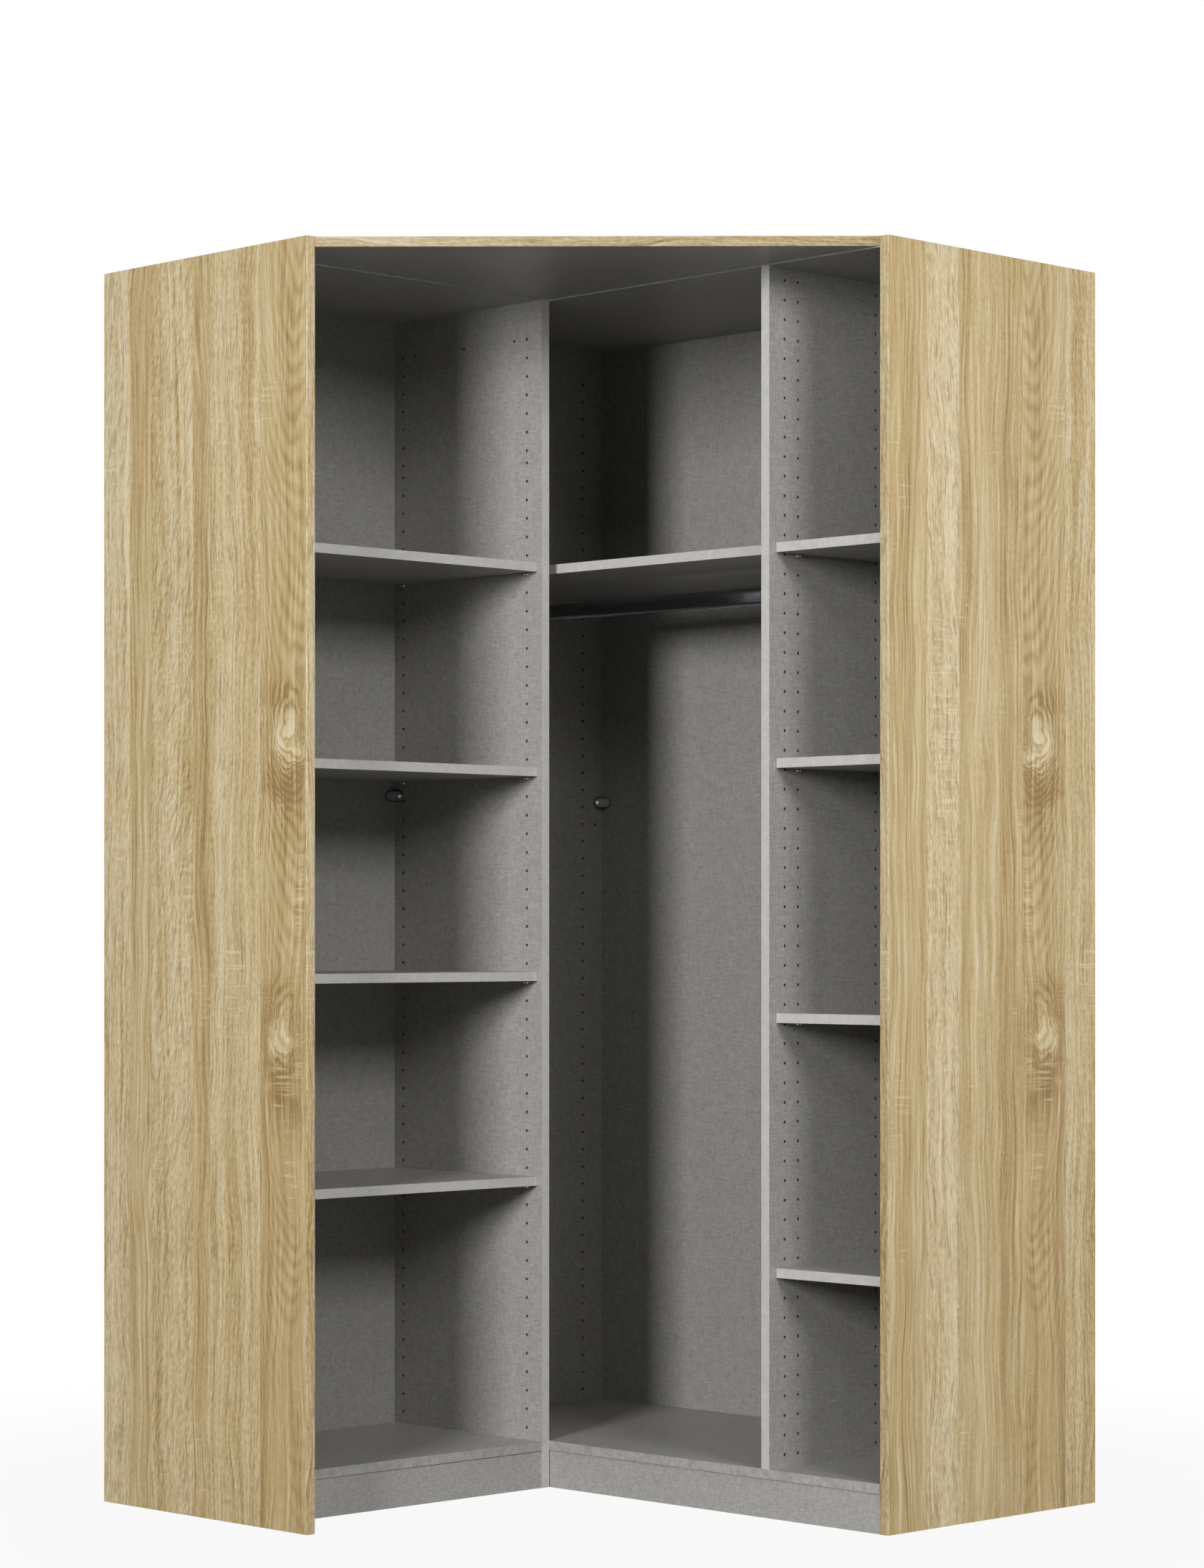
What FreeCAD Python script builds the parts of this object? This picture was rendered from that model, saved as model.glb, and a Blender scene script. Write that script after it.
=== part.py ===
import FreeCAD, Part
import math
import os

# Open corner wardrobe: a shallow left wing and a deep right wing meet in the room corner, and a
# five-cornered plan is closed at the top by a front panel that runs between the two end panels.
# "left" is a distance from the left wall, "back" a distance from the back wall, "z" a height.
# All sizes are in millimetres. The origin is on the floor under the middle of the plan.

# Overall sizes
WING_LENGTH = 1175.0
HEIGHT = 2060.0
LEFT_DEPTH = 400.0
RIGHT_DEPTH = 524.0
LEFT_END_DEPTH = 524.0
RIGHT_BAY_WIDTH = 239.0

# Board thicknesses
UPRIGHT_T = 18.0
BOTTOM_T = 16.0
TOP_T = 18.0
FRONT_TOP_T = 16.0
SHELF_T = 16.0
PLINTH_T = 16.0
BACK_T = 4.0
EDGING_T = 2.0
EDGING_EASE = 1.2

# Plinths and back panels
PLINTH_HEIGHT = 64.0
PLINTH_SETBACK = 2.0
PLINTH_GAP = 0.8
BACK_INSET = 16.0
GROOVE_DEPTH = 7.0
GROOVE_END_GAP = 0.8
GROOVE_CLEARANCE = 0.2

# Rows of peg holes, and the shelves that stand on pegs in them
PITCH = 32.0
FIRST_PEG = 21.0
PEG_HOLE_R = 2.5
PEG_WEB = 1.0
FRONT_COLUMN = 37.0
LEFT_REAR_COLUMN = 43.0
RIGHT_REAR_COLUMN = 71.0
ROW_BREAK_AFTER = 53
ROW_BREAK = 21.0
ROW_BREAK_END = 2 * PITCH
PIN_R = 2.4
PIN_END_GAP = 0.5
PIN_OUT = 8.0
LEFT_SHELF_PEGS = (13, 24, 35, 46)
RIGHT_SHELF_PEGS = (9, 22, 35, 46)
HAT_SHELF_PEG = 46
SPARE_HOLE_PEG = 33
SPARE_HOLE_BACK = 39.0
SHELF_SIDE_GAP = 1.0
SHELF_BACK_GAP = 1.0
LEFT_SHELF_SETBACK = 10.0
RIGHT_SHELF_SETBACK = 16.0
HAT_SHELF_SETBACK = 30.0

# Clothes rail, an oval tube that lies in two open cups
RAIL_WIDTH = 15.0
RAIL_HEIGHT = 30.0
RAIL_WALL = 1.2
RAIL_BACK = 265.0
RAIL_DROP = 24.0
RAIL_END_GAP = 0.5
CUP_CLEARANCE = 0.3
CUP_WALL = 2.0
CUP_REACH = 14.0
CUP_RISE = 6.0
PLATE_T = 3.0
PLATE_MARGIN = 14.0
CUP_SCREW_R = 3.5
CUP_SCREW_HEAD = 1.6
CUP_SCREW_SHANK_R = 1.6

# Fasteners
CAM_R = 7.5
CAM_COVER = 3.5
CAM_BACKSET = 34.0
CAM_REAR = 71.0
CAM_FRONT = 56.0
CAM_STEP = 68.0
BOLT_R = 3.0
BOLT_IN = 11.0
BOLT_END_GAP = 0.5
DOWEL_R = 4.0
DOWEL_COVER = 4.0
DOWEL_INSET = 90.0
JOINING_SCREW_R = 3.0
JOINING_SCREW_IN = 28.0
JOINING_SCREWS = 4
FASTENER_CLEARANCE = 0.1
HOLE_FLOOR_GAP = 0.5

# Corner blocks that hold the back panels to the uprights
BLOCK_WIDTH = 33.0
BLOCK_HEIGHT = 20.0
BLOCK_RISE = 1118.0
BLOCK_SCREW_OFFSET = 9.0
BLOCK_SCREW_R = 3.4
BLOCK_SCREW_HEAD = 1.0

# Sides of the many small round forms, which keeps their facets few
PEG_SIDES = 5
HOLE_SIDES = 6
HEAD_SIDES = 8
BLOCK_END_SIDES = 4

# Levels and faces that the boards share
FLOOR = PLINTH_HEIGHT + BOTTOM_T
CEILING = HEIGHT - TOP_T
BACK_FACE = BACK_INSET + BACK_T
END_FACE = WING_LENGTH - UPRIGHT_T
DIVIDER = (RIGHT_DEPTH, RIGHT_DEPTH + UPRIGHT_T)
PARTITION = (END_FACE - RIGHT_BAY_WIDTH - UPRIGHT_T, END_FACE - RIGHT_BAY_WIDTH)
RAIL_Z = FLOOR + FIRST_PEG + HAT_SHELF_PEG * PITCH - RAIL_DROP - RAIL_HEIGHT / 2
PEG_HOLE_DEPTH = (UPRIGHT_T - PEG_WEB) / 2
CAM_DEPTH = min(BOTTOM_T, TOP_T) - CAM_COVER

# Directions in the model
TO_RIGHT = FreeCAD.Vector(1, 0, 0)
TO_LEFT = FreeCAD.Vector(-1, 0, 0)
TO_BACK = FreeCAD.Vector(0, 1, 0)
TO_FRONT = FreeCAD.Vector(0, -1, 0)
UP = FreeCAD.Vector(0, 0, 1)
DOWN = FreeCAD.Vector(0, 0, -1)


def room(left, back, z):
    """Point given by its distances from the left wall, the back wall and the floor."""
    return FreeCAD.Vector(left - WING_LENGTH / 2, WING_LENGTH / 2 - back, z)


def board(left, back, z):
    """Flat board between pairs of distances from the left wall, the back wall and the floor."""
    return Part.makeBox(left[1] - left[0], back[1] - back[0], z[1] - z[0], room(left[0], back[1], z[0]))


def prism(sides, flat_r, start, direction, length):
    """Straight bar of a regular section whose flats lie at flat_r from its axis."""
    across = UP.cross(direction) if abs(direction.z) < 0.5 else TO_RIGHT
    other = direction.cross(across)
    corner_r = flat_r / math.cos(math.pi / sides)
    corners = []
    for i in range(sides + 1):
        turn = 2 * math.pi * (i + 0.5) / sides
        corners.append(start + across * (corner_r * math.sin(turn)) + other * (corner_r * math.cos(turn)))
    return Part.Face(Part.makePolygon(corners)).extrude(direction * length)


def slab(low, edge, rise, thickness):
    """Rectangular block given by its lowest corner and its three edge vectors."""
    outline = [low, low + edge, low + edge + rise, low + rise, low]
    return Part.Face(Part.makePolygon(outline)).extrude(thickness)


def stadium(centre, across, half_width, half_height):
    """Stadium face about a centre, across its width and upright in its height."""
    radius = min(half_width, half_height)
    tip = UP if half_height > half_width else across
    side = across if half_height > half_width else UP
    end = tip * (max(half_width, half_height) - radius)
    first = Part.Arc(centre + end + side * radius, centre + end + tip * radius, centre + end - side * radius)
    last = Part.Arc(centre - end - side * radius, centre - end - tip * radius, centre - end + side * radius)
    there = Part.LineSegment(first.EndPoint, last.StartPoint)
    back = Part.LineSegment(last.EndPoint, first.StartPoint)
    return Part.Face(Part.Wire([edge.toShape() for edge in (first, there, last, back)]))


def drilled(solid, bores):
    """The solid with every bore that reaches it cut out."""
    near = [bore for bore in bores if bore.BoundBox.intersect(solid.BoundBox)]
    return solid.cut(Part.makeCompound(near)) if near else solid


def even_row():
    """Heights of the peg holes in the right bay's uprights."""
    count = int((CEILING - FLOOR - 2 * FIRST_PEG) / PITCH + 1e-6) + 1
    return [FLOOR + FIRST_PEG + PITCH * i for i in range(count)]


def broken_row():
    """Heights of the peg holes where the upper group is set off by a shorter step."""
    heights = []
    z = FLOOR + FIRST_PEG
    while z <= CEILING - ROW_BREAK_END + 1e-6:
        heights.append(z)
        z += ROW_BREAK if len(heights) == ROW_BREAK_AFTER else PITCH
    return heights


def peg_height(number):
    """Axis of a peg hole, counted up from the lowest hole of its row."""
    return FLOOR + FIRST_PEG + PITCH * number


def peg_hole(left, back, z, inward):
    """Blind peg hole drilled from a point on an upright's face."""
    return prism(PEG_SIDES, PEG_HOLE_R, room(left, back, z), inward, PEG_HOLE_DEPTH)


def shelf_pin(left, back, z, inward):
    """Metal peg, part in its hole and part under the shelf."""
    start = room(left, back, z) - inward * PIN_OUT
    return prism(PEG_SIDES, PIN_R, start, inward, PIN_OUT + PEG_HOLE_DEPTH - PIN_END_GAP)


def shelf_levels(number):
    """Bottom and top of a shelf that stands on the pegs of one row."""
    bottom = peg_height(number) + PIN_R
    return (bottom, bottom + SHELF_T)


# Depths of the peg-hole columns, and the faces that they are drilled from
LEFT_COLUMNS = (LEFT_DEPTH - FRONT_COLUMN, LEFT_REAR_COLUMN)
EXTRA_ROW = (LEFT_COLUMNS[0] - PITCH, sum(LEFT_COLUMNS) / 2, LEFT_COLUMNS[1] + PITCH)
HINGE_COLUMN = RIGHT_DEPTH - FRONT_COLUMN
FRONT_PEGS = HINGE_COLUMN - PITCH
REAR_PEGS = RIGHT_REAR_COLUMN
MIDDLE_PEGS = (FRONT_PEGS + REAR_PEGS) / 2


def left_wing_holes():
    """Both full columns and the short extra row of the divider, and the used holes of the end panel."""
    holes = [peg_hole(left, DIVIDER[1], z, TO_BACK) for left in LEFT_COLUMNS for z in broken_row()]
    holes += [peg_hole(left, DIVIDER[1], broken_row()[-1], TO_BACK) for left in EXTRA_ROW]
    for number in LEFT_SHELF_PEGS:
        holes += [peg_hole(left, END_FACE, peg_height(number), TO_FRONT) for left in LEFT_COLUMNS]
    return holes


def right_wing_holes():
    """The columns that show on the partition and the corner side, a spare hole, and the used holes elsewhere."""
    holes = []
    for back in (HINGE_COLUMN, FRONT_PEGS, MIDDLE_PEGS):
        holes += [peg_hole(PARTITION[1], back, z, TO_LEFT) for z in even_row()]
    holes += [peg_hole(UPRIGHT_T, REAR_PEGS, z, TO_LEFT) for z in broken_row()]
    holes.append(peg_hole(UPRIGHT_T, SPARE_HOLE_BACK, peg_height(SPARE_HOLE_PEG), TO_LEFT))
    holes.append(peg_hole(UPRIGHT_T, FRONT_PEGS, peg_height(HAT_SHELF_PEG), TO_LEFT))
    for back in (FRONT_PEGS, REAR_PEGS):
        holes.append(peg_hole(PARTITION[0], back, peg_height(HAT_SHELF_PEG), TO_RIGHT))
    for number in RIGHT_SHELF_PEGS:
        holes.append(peg_hole(PARTITION[1], REAR_PEGS, peg_height(number), TO_LEFT))
        holes += [peg_hole(END_FACE, back, peg_height(number), TO_RIGHT) for back in (FRONT_PEGS, REAR_PEGS)]
    return holes


def left_pins():
    """Four pegs under each shelf of the left wing."""
    pins = []
    for number in LEFT_SHELF_PEGS:
        for left in LEFT_COLUMNS:
            pins.append(shelf_pin(left, DIVIDER[1], peg_height(number), TO_BACK))
            pins.append(shelf_pin(left, END_FACE, peg_height(number), TO_FRONT))
    return pins


def right_pins():
    """Four pegs under each shelf of the right bay."""
    pins = []
    for number in RIGHT_SHELF_PEGS:
        for back in (FRONT_PEGS, REAR_PEGS):
            pins.append(shelf_pin(PARTITION[1], back, peg_height(number), TO_LEFT))
            pins.append(shelf_pin(END_FACE, back, peg_height(number), TO_RIGHT))
    return pins


def hat_pins():
    """Four pegs under the hat shelf."""
    pins = []
    for back in (FRONT_PEGS, REAR_PEGS):
        pins.append(shelf_pin(UPRIGHT_T, back, peg_height(HAT_SHELF_PEG), TO_LEFT))
        pins.append(shelf_pin(PARTITION[0], back, peg_height(HAT_SHELF_PEG), TO_RIGHT))
    return pins


def cam_places():
    """Each cam joint: point on the upright's face, way into the board, face of the board and way into it."""
    bottom_axis = PLINTH_HEIGHT + BOTTOM_T / 2
    top_axis = HEIGHT - TOP_T / 2
    places = []
    for left in (CAM_REAR, LEFT_DEPTH - CAM_FRONT - CAM_STEP, LEFT_DEPTH - CAM_FRONT):
        for back, inward in ((DIVIDER[1], TO_FRONT), (END_FACE, TO_BACK)):
            places.append((room(left, back, bottom_axis), inward, FLOOR, DOWN))
            places.append((room(left, back, top_axis), inward, CEILING, UP))
    for back in (CAM_REAR, RIGHT_DEPTH - CAM_FRONT):
        for left, inward in ((UPRIGHT_T, TO_RIGHT), (END_FACE, TO_LEFT)):
            places.append((room(left, back, bottom_axis), inward, PLINTH_HEIGHT, UP))
            places.append((room(left, back, top_axis), inward, HEIGHT, DOWN))
    return places


def cam(place, clearance=0):
    """Cam housing sunk in a board's face, or with a clearance the pocket for it."""
    face_point, inward, level, into_board = place
    centre = face_point + inward * CAM_BACKSET
    centre.z = level
    return prism(HEAD_SIDES, CAM_R + clearance, centre, into_board, CAM_DEPTH + clearance)


def cam_bolt(place):
    """Bolt from the upright to the cam."""
    face_point, inward, _, _ = place
    reach = CAM_BACKSET - CAM_R - BOLT_END_GAP
    return prism(HOLE_SIDES, BOLT_R, face_point - inward * BOLT_IN, inward, BOLT_IN + reach)


def cam_bolt_bore(place):
    """Bore for a cam's bolt, from inside the upright to the cam's pocket."""
    face_point, inward, _, _ = place
    depth = BOLT_IN + HOLE_FLOOR_GAP
    length = depth + CAM_BACKSET - CAM_R
    return prism(HOLE_SIDES, BOLT_R + FASTENER_CLEARANCE, face_point - inward * depth, inward, length)


def dowel_places():
    """Middle and direction of each dowel."""
    places = []
    middle = (PARTITION[0] + PARTITION[1]) / 2
    for back in (DOWEL_INSET, RIGHT_DEPTH - DOWEL_INSET):
        places += [(room(middle, back, FLOOR), UP), (room(middle, back, CEILING), UP)]
    left_plinth = LEFT_DEPTH - PLINTH_SETBACK - PLINTH_T / 2
    right_plinth = RIGHT_DEPTH - PLINTH_SETBACK - PLINTH_T / 2
    places += [(room(left_plinth, back, PLINTH_HEIGHT / 2), TO_BACK) for back in (DIVIDER[1], END_FACE)]
    places += [(room(left, right_plinth, PLINTH_HEIGHT / 2), TO_RIGHT) for left in (UPRIGHT_T, END_FACE)]
    seam_z = HEIGHT - FRONT_TOP_T / 2
    for back in (DIVIDER[1] + DOWEL_INSET, END_FACE - DOWEL_INSET):
        places.append((room(LEFT_DEPTH, back, seam_z), TO_RIGHT))
    for left in (LEFT_DEPTH + DOWEL_INSET, PARTITION[0]):
        places.append((room(left, RIGHT_DEPTH, seam_z), TO_BACK))
    return places


def dowel(place, clearance=0, end_gap=0):
    """One dowel, half in each of two boards, or with a clearance its bore."""
    middle, direction = place
    half = min(BOTTOM_T, TOP_T, UPRIGHT_T) - DOWEL_COVER + end_gap
    return prism(HOLE_SIDES, DOWEL_R + clearance, middle - direction * half, direction, 2 * half)


def joining_screw(number, clearance=0, end_gap=0):
    """Screw through the divider into the front edge of the corner side, behind the left back panel."""
    z = FLOOR + (CEILING - FLOOR) * (number + 0.5) / JOINING_SCREWS
    length = UPRIGHT_T + JOINING_SCREW_IN + end_gap
    return prism(HEAD_SIDES, JOINING_SCREW_R + clearance, room(UPRIGHT_T / 2, DIVIDER[1], z), TO_BACK, length)


def back_boards(clearance=0, end_gap=0):
    """Both back panels, or with a clearance the grooves that they slide into."""
    reach = GROOVE_DEPTH - end_gap
    depth = (BACK_INSET - clearance, BACK_FACE + clearance)
    z = (FLOOR - reach, CEILING + reach)
    left_panel = board(depth, (DIVIDER[1] - reach, END_FACE + reach), z)
    right_panel = board((UPRIGHT_T - reach, END_FACE + reach), depth, z)
    return left_panel, right_panel


def block_corners():
    """Each corner block: its corner, the two ways along the walls, and the side that its screw is on."""
    z = FLOOR + BLOCK_RISE
    return [
        (room(BACK_FACE, DIVIDER[1], z), TO_RIGHT, TO_FRONT, TO_RIGHT),
        (room(BACK_FACE, END_FACE, z), TO_RIGHT, TO_BACK, TO_RIGHT),
        (room(UPRIGHT_T, BACK_FACE, z), TO_RIGHT, TO_FRONT, TO_FRONT),
        (room(END_FACE, BACK_FACE, z), TO_LEFT, TO_FRONT, TO_FRONT),
    ]


def block_frame(corner):
    """Point in the middle of a block's face, its outward direction, and the way across it to the screw."""
    point, first, second, screw_side = corner
    outward = (first + second).normalize()
    other_side = second if screw_side.isEqual(first, 1e-6) else first
    across = (screw_side - other_side).normalize()
    return point + outward * (BLOCK_WIDTH / 2), outward, across


def corner_block(corner):
    """Plastic block with round ends across the corner of a back panel and an upright."""
    point, first, second, _ = corner
    _, outward, across = block_frame(corner)
    radius = BLOCK_HEIGHT / 2
    outline = []
    for side in (1, -1):
        centre = point + across * (side * (BLOCK_WIDTH / 2 - radius))
        for i in range(BLOCK_END_SIDES + 1):
            turn = math.pi * i / BLOCK_END_SIDES
            outline.append(centre + (UP * math.cos(turn) + across * math.sin(turn)) * (side * radius))
    bar = Part.Face(Part.makePolygon(outline + outline[:1])).extrude(outward * (BLOCK_WIDTH / 2))
    low = point + DOWN * radius
    return bar.common(slab(low, first * BLOCK_WIDTH, second * BLOCK_WIDTH, UP * BLOCK_HEIGHT))


def block_screw(corner):
    """Screw head on the face of a corner block."""
    face, outward, across = block_frame(corner)
    return prism(HEAD_SIDES, BLOCK_SCREW_R, face + across * BLOCK_SCREW_OFFSET, outward, BLOCK_SCREW_HEAD)


def rail_cup(face_left, inward):
    """Open-topped cup for one end of the clothes rail: a fixing plate and a trough."""
    base = room(face_left, RAIL_BACK, RAIL_Z)
    front = base + inward * PLATE_T
    inner_w = RAIL_WIDTH / 2 + CUP_CLEARANCE
    inner_h = RAIL_HEIGHT / 2 + CUP_CLEARANCE
    half_w = inner_w + CUP_WALL
    half_h = inner_h + CUP_WALL + PLATE_MARGIN
    edge = TO_BACK * (2 * half_w)
    rise = UP * (2 * half_h)
    plate = slab(base - edge * 0.5 - rise * 0.5, edge, rise, inward * PLATE_T)
    trough = stadium(front, TO_BACK, half_w, inner_h + CUP_WALL).extrude(inward * CUP_REACH)
    hollow = stadium(front, TO_BACK, inner_w, inner_h).extrude(inward * CUP_REACH)
    mouth = slab(front - edge * 0.5 + UP * CUP_RISE, edge, rise, inward * CUP_REACH)
    return plate.fuse(trough.cut(hollow).cut(mouth)).removeSplitter()


def cup_screw_places():
    """Seat and direction of the two screws of each rail cup."""
    rise = RAIL_HEIGHT / 2 + CUP_CLEARANCE + CUP_WALL + PLATE_MARGIN / 2
    places = []
    for left, inward in ((UPRIGHT_T, TO_RIGHT), (PARTITION[0], TO_LEFT)):
        for side in (-1, 1):
            places.append((room(left, RAIL_BACK, RAIL_Z + side * rise), inward))
    return places


def cup_screw(place, clearance=0, end_gap=0):
    """Screw with a flush head through a cup's plate into the upright, or with a clearance its bore."""
    seat, inward = place
    reach = PEG_HOLE_DEPTH - HOLE_FLOOR_GAP + end_gap
    shank = prism(HOLE_SIDES, CUP_SCREW_SHANK_R + clearance, seat - inward * reach, inward, reach + PLATE_T)
    head_seat = seat + inward * (PLATE_T - CUP_SCREW_HEAD)
    return shank.fuse(prism(HEAD_SIDES, CUP_SCREW_R + clearance, head_seat, inward, CUP_SCREW_HEAD))


def clothes_rail():
    """Oval tube that lies in the two cups."""
    start = room(UPRIGHT_T + PLATE_T + RAIL_END_GAP, RAIL_BACK, RAIL_Z)
    length = PARTITION[0] - UPRIGHT_T - 2 * (PLATE_T + RAIL_END_GAP)
    outside = stadium(start, TO_BACK, RAIL_WIDTH / 2, RAIL_HEIGHT / 2).extrude(TO_RIGHT * length)
    inside = stadium(start, TO_BACK, RAIL_WIDTH / 2 - RAIL_WALL, RAIL_HEIGHT / 2 - RAIL_WALL)
    return outside.cut(inside.extrude(TO_RIGHT * length))


def front_top():
    """Top panel across the open front, and the edging along its slanted edge."""
    z = HEIGHT - FRONT_TOP_T
    near_left = room(LEFT_END_DEPTH, END_FACE, z)
    near_right = room(END_FACE, RIGHT_DEPTH, z)
    corners = [room(LEFT_DEPTH, RIGHT_DEPTH, z), room(LEFT_DEPTH, END_FACE, z), near_left, near_right]
    whole = Part.Face(Part.makePolygon(corners + corners[:1])).extrude(UP * FRONT_TOP_T)
    edge = near_right - near_left
    inward = UP.cross(edge).normalize() * EDGING_T
    strip = slab(near_left - edge, edge * 3, inward, UP * FRONT_TOP_T)
    return whole.cut(strip), whole.common(strip)


def end_edging(start, facing, side):
    """Upright edging strip on an end panel's front edge, its two outer corners eased."""
    shoulder = facing * (EDGING_T - EDGING_EASE)
    front = facing * EDGING_T
    width = side * UPRIGHT_T
    ease = side * EDGING_EASE
    corners = [start, start + shoulder, start + front + ease]
    corners += [start + front + width - ease, start + shoulder + width, start + width]
    return Part.Face(Part.makePolygon(corners + corners[:1])).extrude(UP * HEIGHT)


def carcase_boards():
    """The fixed boards before drilling, by name."""
    full = (0, HEIGHT)
    bottom = (PLINTH_HEIGHT, FLOOR)
    top = (CEILING, HEIGHT)
    plinth = (0, PLINTH_HEIGHT - PLINTH_GAP)
    left_span = (DIVIDER[1], END_FACE)
    right_span = (UPRIGHT_T, END_FACE)
    left_plinth = (LEFT_DEPTH - PLINTH_SETBACK - PLINTH_T, LEFT_DEPTH - PLINTH_SETBACK)
    right_plinth = (RIGHT_DEPTH - PLINTH_SETBACK - PLINTH_T, RIGHT_DEPTH - PLINTH_SETBACK)
    return {
        "left_end_panel": board((0, LEFT_END_DEPTH - EDGING_T), (END_FACE, WING_LENGTH), full),
        "right_end_panel": board((END_FACE, WING_LENGTH), (0, RIGHT_DEPTH - EDGING_T), full),
        "corner_side_panel": board((0, UPRIGHT_T), (0, RIGHT_DEPTH), full),
        "divider_panel": board((0, LEFT_DEPTH), DIVIDER, full),
        "partition_panel": board(PARTITION, (BACK_FACE + GROOVE_CLEARANCE, RIGHT_DEPTH), (FLOOR, CEILING)),
        "left_bottom_panel": board((0, LEFT_DEPTH), left_span, bottom),
        "right_bottom_panel": board(right_span, (0, RIGHT_DEPTH), bottom),
        "left_top_panel": board((0, LEFT_DEPTH), left_span, top),
        "right_top_panel": board(right_span, (0, RIGHT_DEPTH), top),
        "left_plinth": board(left_plinth, left_span, plinth),
        "right_plinth": board(right_span, right_plinth, plinth),
    }


def shelf_boards():
    """The loose shelves, by name, counted up from the lowest."""
    shelves = {}
    left_depth = (BACK_FACE + SHELF_BACK_GAP, LEFT_DEPTH - LEFT_SHELF_SETBACK)
    left_span = (DIVIDER[1] + SHELF_SIDE_GAP, END_FACE - SHELF_SIDE_GAP)
    for i, number in enumerate(LEFT_SHELF_PEGS):
        shelves[f"left_shelf_{i + 1}"] = board(left_depth, left_span, shelf_levels(number))
    right_depth = (BACK_FACE + SHELF_BACK_GAP, RIGHT_DEPTH - RIGHT_SHELF_SETBACK)
    right_span = (PARTITION[1] + SHELF_SIDE_GAP, END_FACE - SHELF_SIDE_GAP)
    for i, number in enumerate(RIGHT_SHELF_PEGS):
        shelves[f"right_shelf_{i + 1}"] = board(right_span, right_depth, shelf_levels(number))
    hat_depth = (BACK_FACE + SHELF_BACK_GAP, RIGHT_DEPTH - HAT_SHELF_SETBACK)
    hat_span = (UPRIGHT_T + SHELF_SIDE_GAP, PARTITION[0] - SHELF_SIDE_GAP)
    shelves["hat_shelf"] = board(hat_span, hat_depth, shelf_levels(HAT_SHELF_PEG))
    return shelves


def all_bores():
    """Every hole, pocket and groove in the fixed boards."""
    bores = [cam(place, FASTENER_CLEARANCE) for place in cam_places()]
    bores += [cam_bolt_bore(place) for place in cam_places()]
    bores += [dowel(place, FASTENER_CLEARANCE, HOLE_FLOOR_GAP) for place in dowel_places()]
    bores += [joining_screw(i, FASTENER_CLEARANCE, HOLE_FLOOR_GAP) for i in range(JOINING_SCREWS)]
    bores += [cup_screw(place, FASTENER_CLEARANCE, HOLE_FLOOR_GAP) for place in cup_screw_places()]
    bores += left_wing_holes()
    bores += right_wing_holes()
    bores += back_boards(GROOVE_CLEARANCE)
    return bores


def edgings():
    """The oak edging strips and the front top panel that one of them closes, by name."""
    panel, strip = front_top()
    left_start = room(LEFT_END_DEPTH - EDGING_T, WING_LENGTH, 0)
    right_start = room(WING_LENGTH, RIGHT_DEPTH - EDGING_T, 0)
    return {
        "front_top_panel": panel,
        "front_top_edging": strip,
        "left_end_edging": end_edging(left_start, TO_RIGHT, TO_BACK),
        "right_end_edging": end_edging(right_start, TO_FRONT, TO_LEFT),
    }


def rail_parts():
    """The clothes rail and its two cups, by name."""
    return {
        "clothes_rail": clothes_rail(),
        "rail_cup_left": rail_cup(UPRIGHT_T, TO_RIGHT),
        "rail_cup_right": rail_cup(PARTITION[0], TO_LEFT),
    }


def small_parts():
    """Pegs and fasteners, each kind in one group, by name."""
    groups = {
        "left_shelf_pins": left_pins(),
        "right_shelf_pins": right_pins(),
        "hat_shelf_pins": hat_pins(),
        "rail_cup_screws": [cup_screw(place) for place in cup_screw_places()],
        "cam_housings": [cam(place) for place in cam_places()],
        "cam_bolts": [cam_bolt(place) for place in cam_places()],
        "wood_dowels": [dowel(place) for place in dowel_places()],
        "wing_joining_screws": [joining_screw(i) for i in range(JOINING_SCREWS)],
        "back_panel_blocks": [corner_block(corner) for corner in block_corners()],
        "back_block_screws": [block_screw(corner) for corner in block_corners()],
    }
    return {name: Part.makeCompound(solids) for name, solids in groups.items()}


def build():
    """Every piece of the wardrobe, by name."""
    bores = all_bores()
    bored = {**carcase_boards(), **edgings(), **rail_parts()}
    parts = {name: drilled(solid, bores) for name, solid in bored.items()}
    parts["left_back_panel"], parts["right_back_panel"] = back_boards(end_gap=GROOVE_END_GAP)
    parts.update(shelf_boards())
    parts.update(small_parts())
    return parts


os.makedirs("parts", exist_ok=True)
for node, shape in build().items():
    shape.exportStep(f"parts/{node}.step")
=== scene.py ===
import bmesh
import bpy
import math
from collections import namedtuple
from mathutils import Matrix, Vector


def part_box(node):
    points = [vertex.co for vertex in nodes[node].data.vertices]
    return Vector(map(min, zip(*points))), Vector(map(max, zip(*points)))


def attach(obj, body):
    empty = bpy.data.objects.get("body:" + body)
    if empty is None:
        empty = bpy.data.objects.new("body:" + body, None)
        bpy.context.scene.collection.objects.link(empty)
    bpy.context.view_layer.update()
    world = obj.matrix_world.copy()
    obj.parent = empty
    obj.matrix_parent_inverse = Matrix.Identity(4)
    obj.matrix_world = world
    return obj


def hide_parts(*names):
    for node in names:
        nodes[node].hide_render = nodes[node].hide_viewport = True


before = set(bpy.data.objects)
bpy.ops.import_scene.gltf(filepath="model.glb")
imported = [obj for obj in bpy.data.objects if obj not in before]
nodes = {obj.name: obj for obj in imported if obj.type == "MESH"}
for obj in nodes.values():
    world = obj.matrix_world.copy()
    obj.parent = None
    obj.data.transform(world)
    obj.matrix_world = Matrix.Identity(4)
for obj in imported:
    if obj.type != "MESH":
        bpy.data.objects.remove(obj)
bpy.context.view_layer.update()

MM = 0.001
AXES = ((1, 0, 0), (0, 1, 0), (0, 0, 1))
UP = AXES[2]

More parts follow.
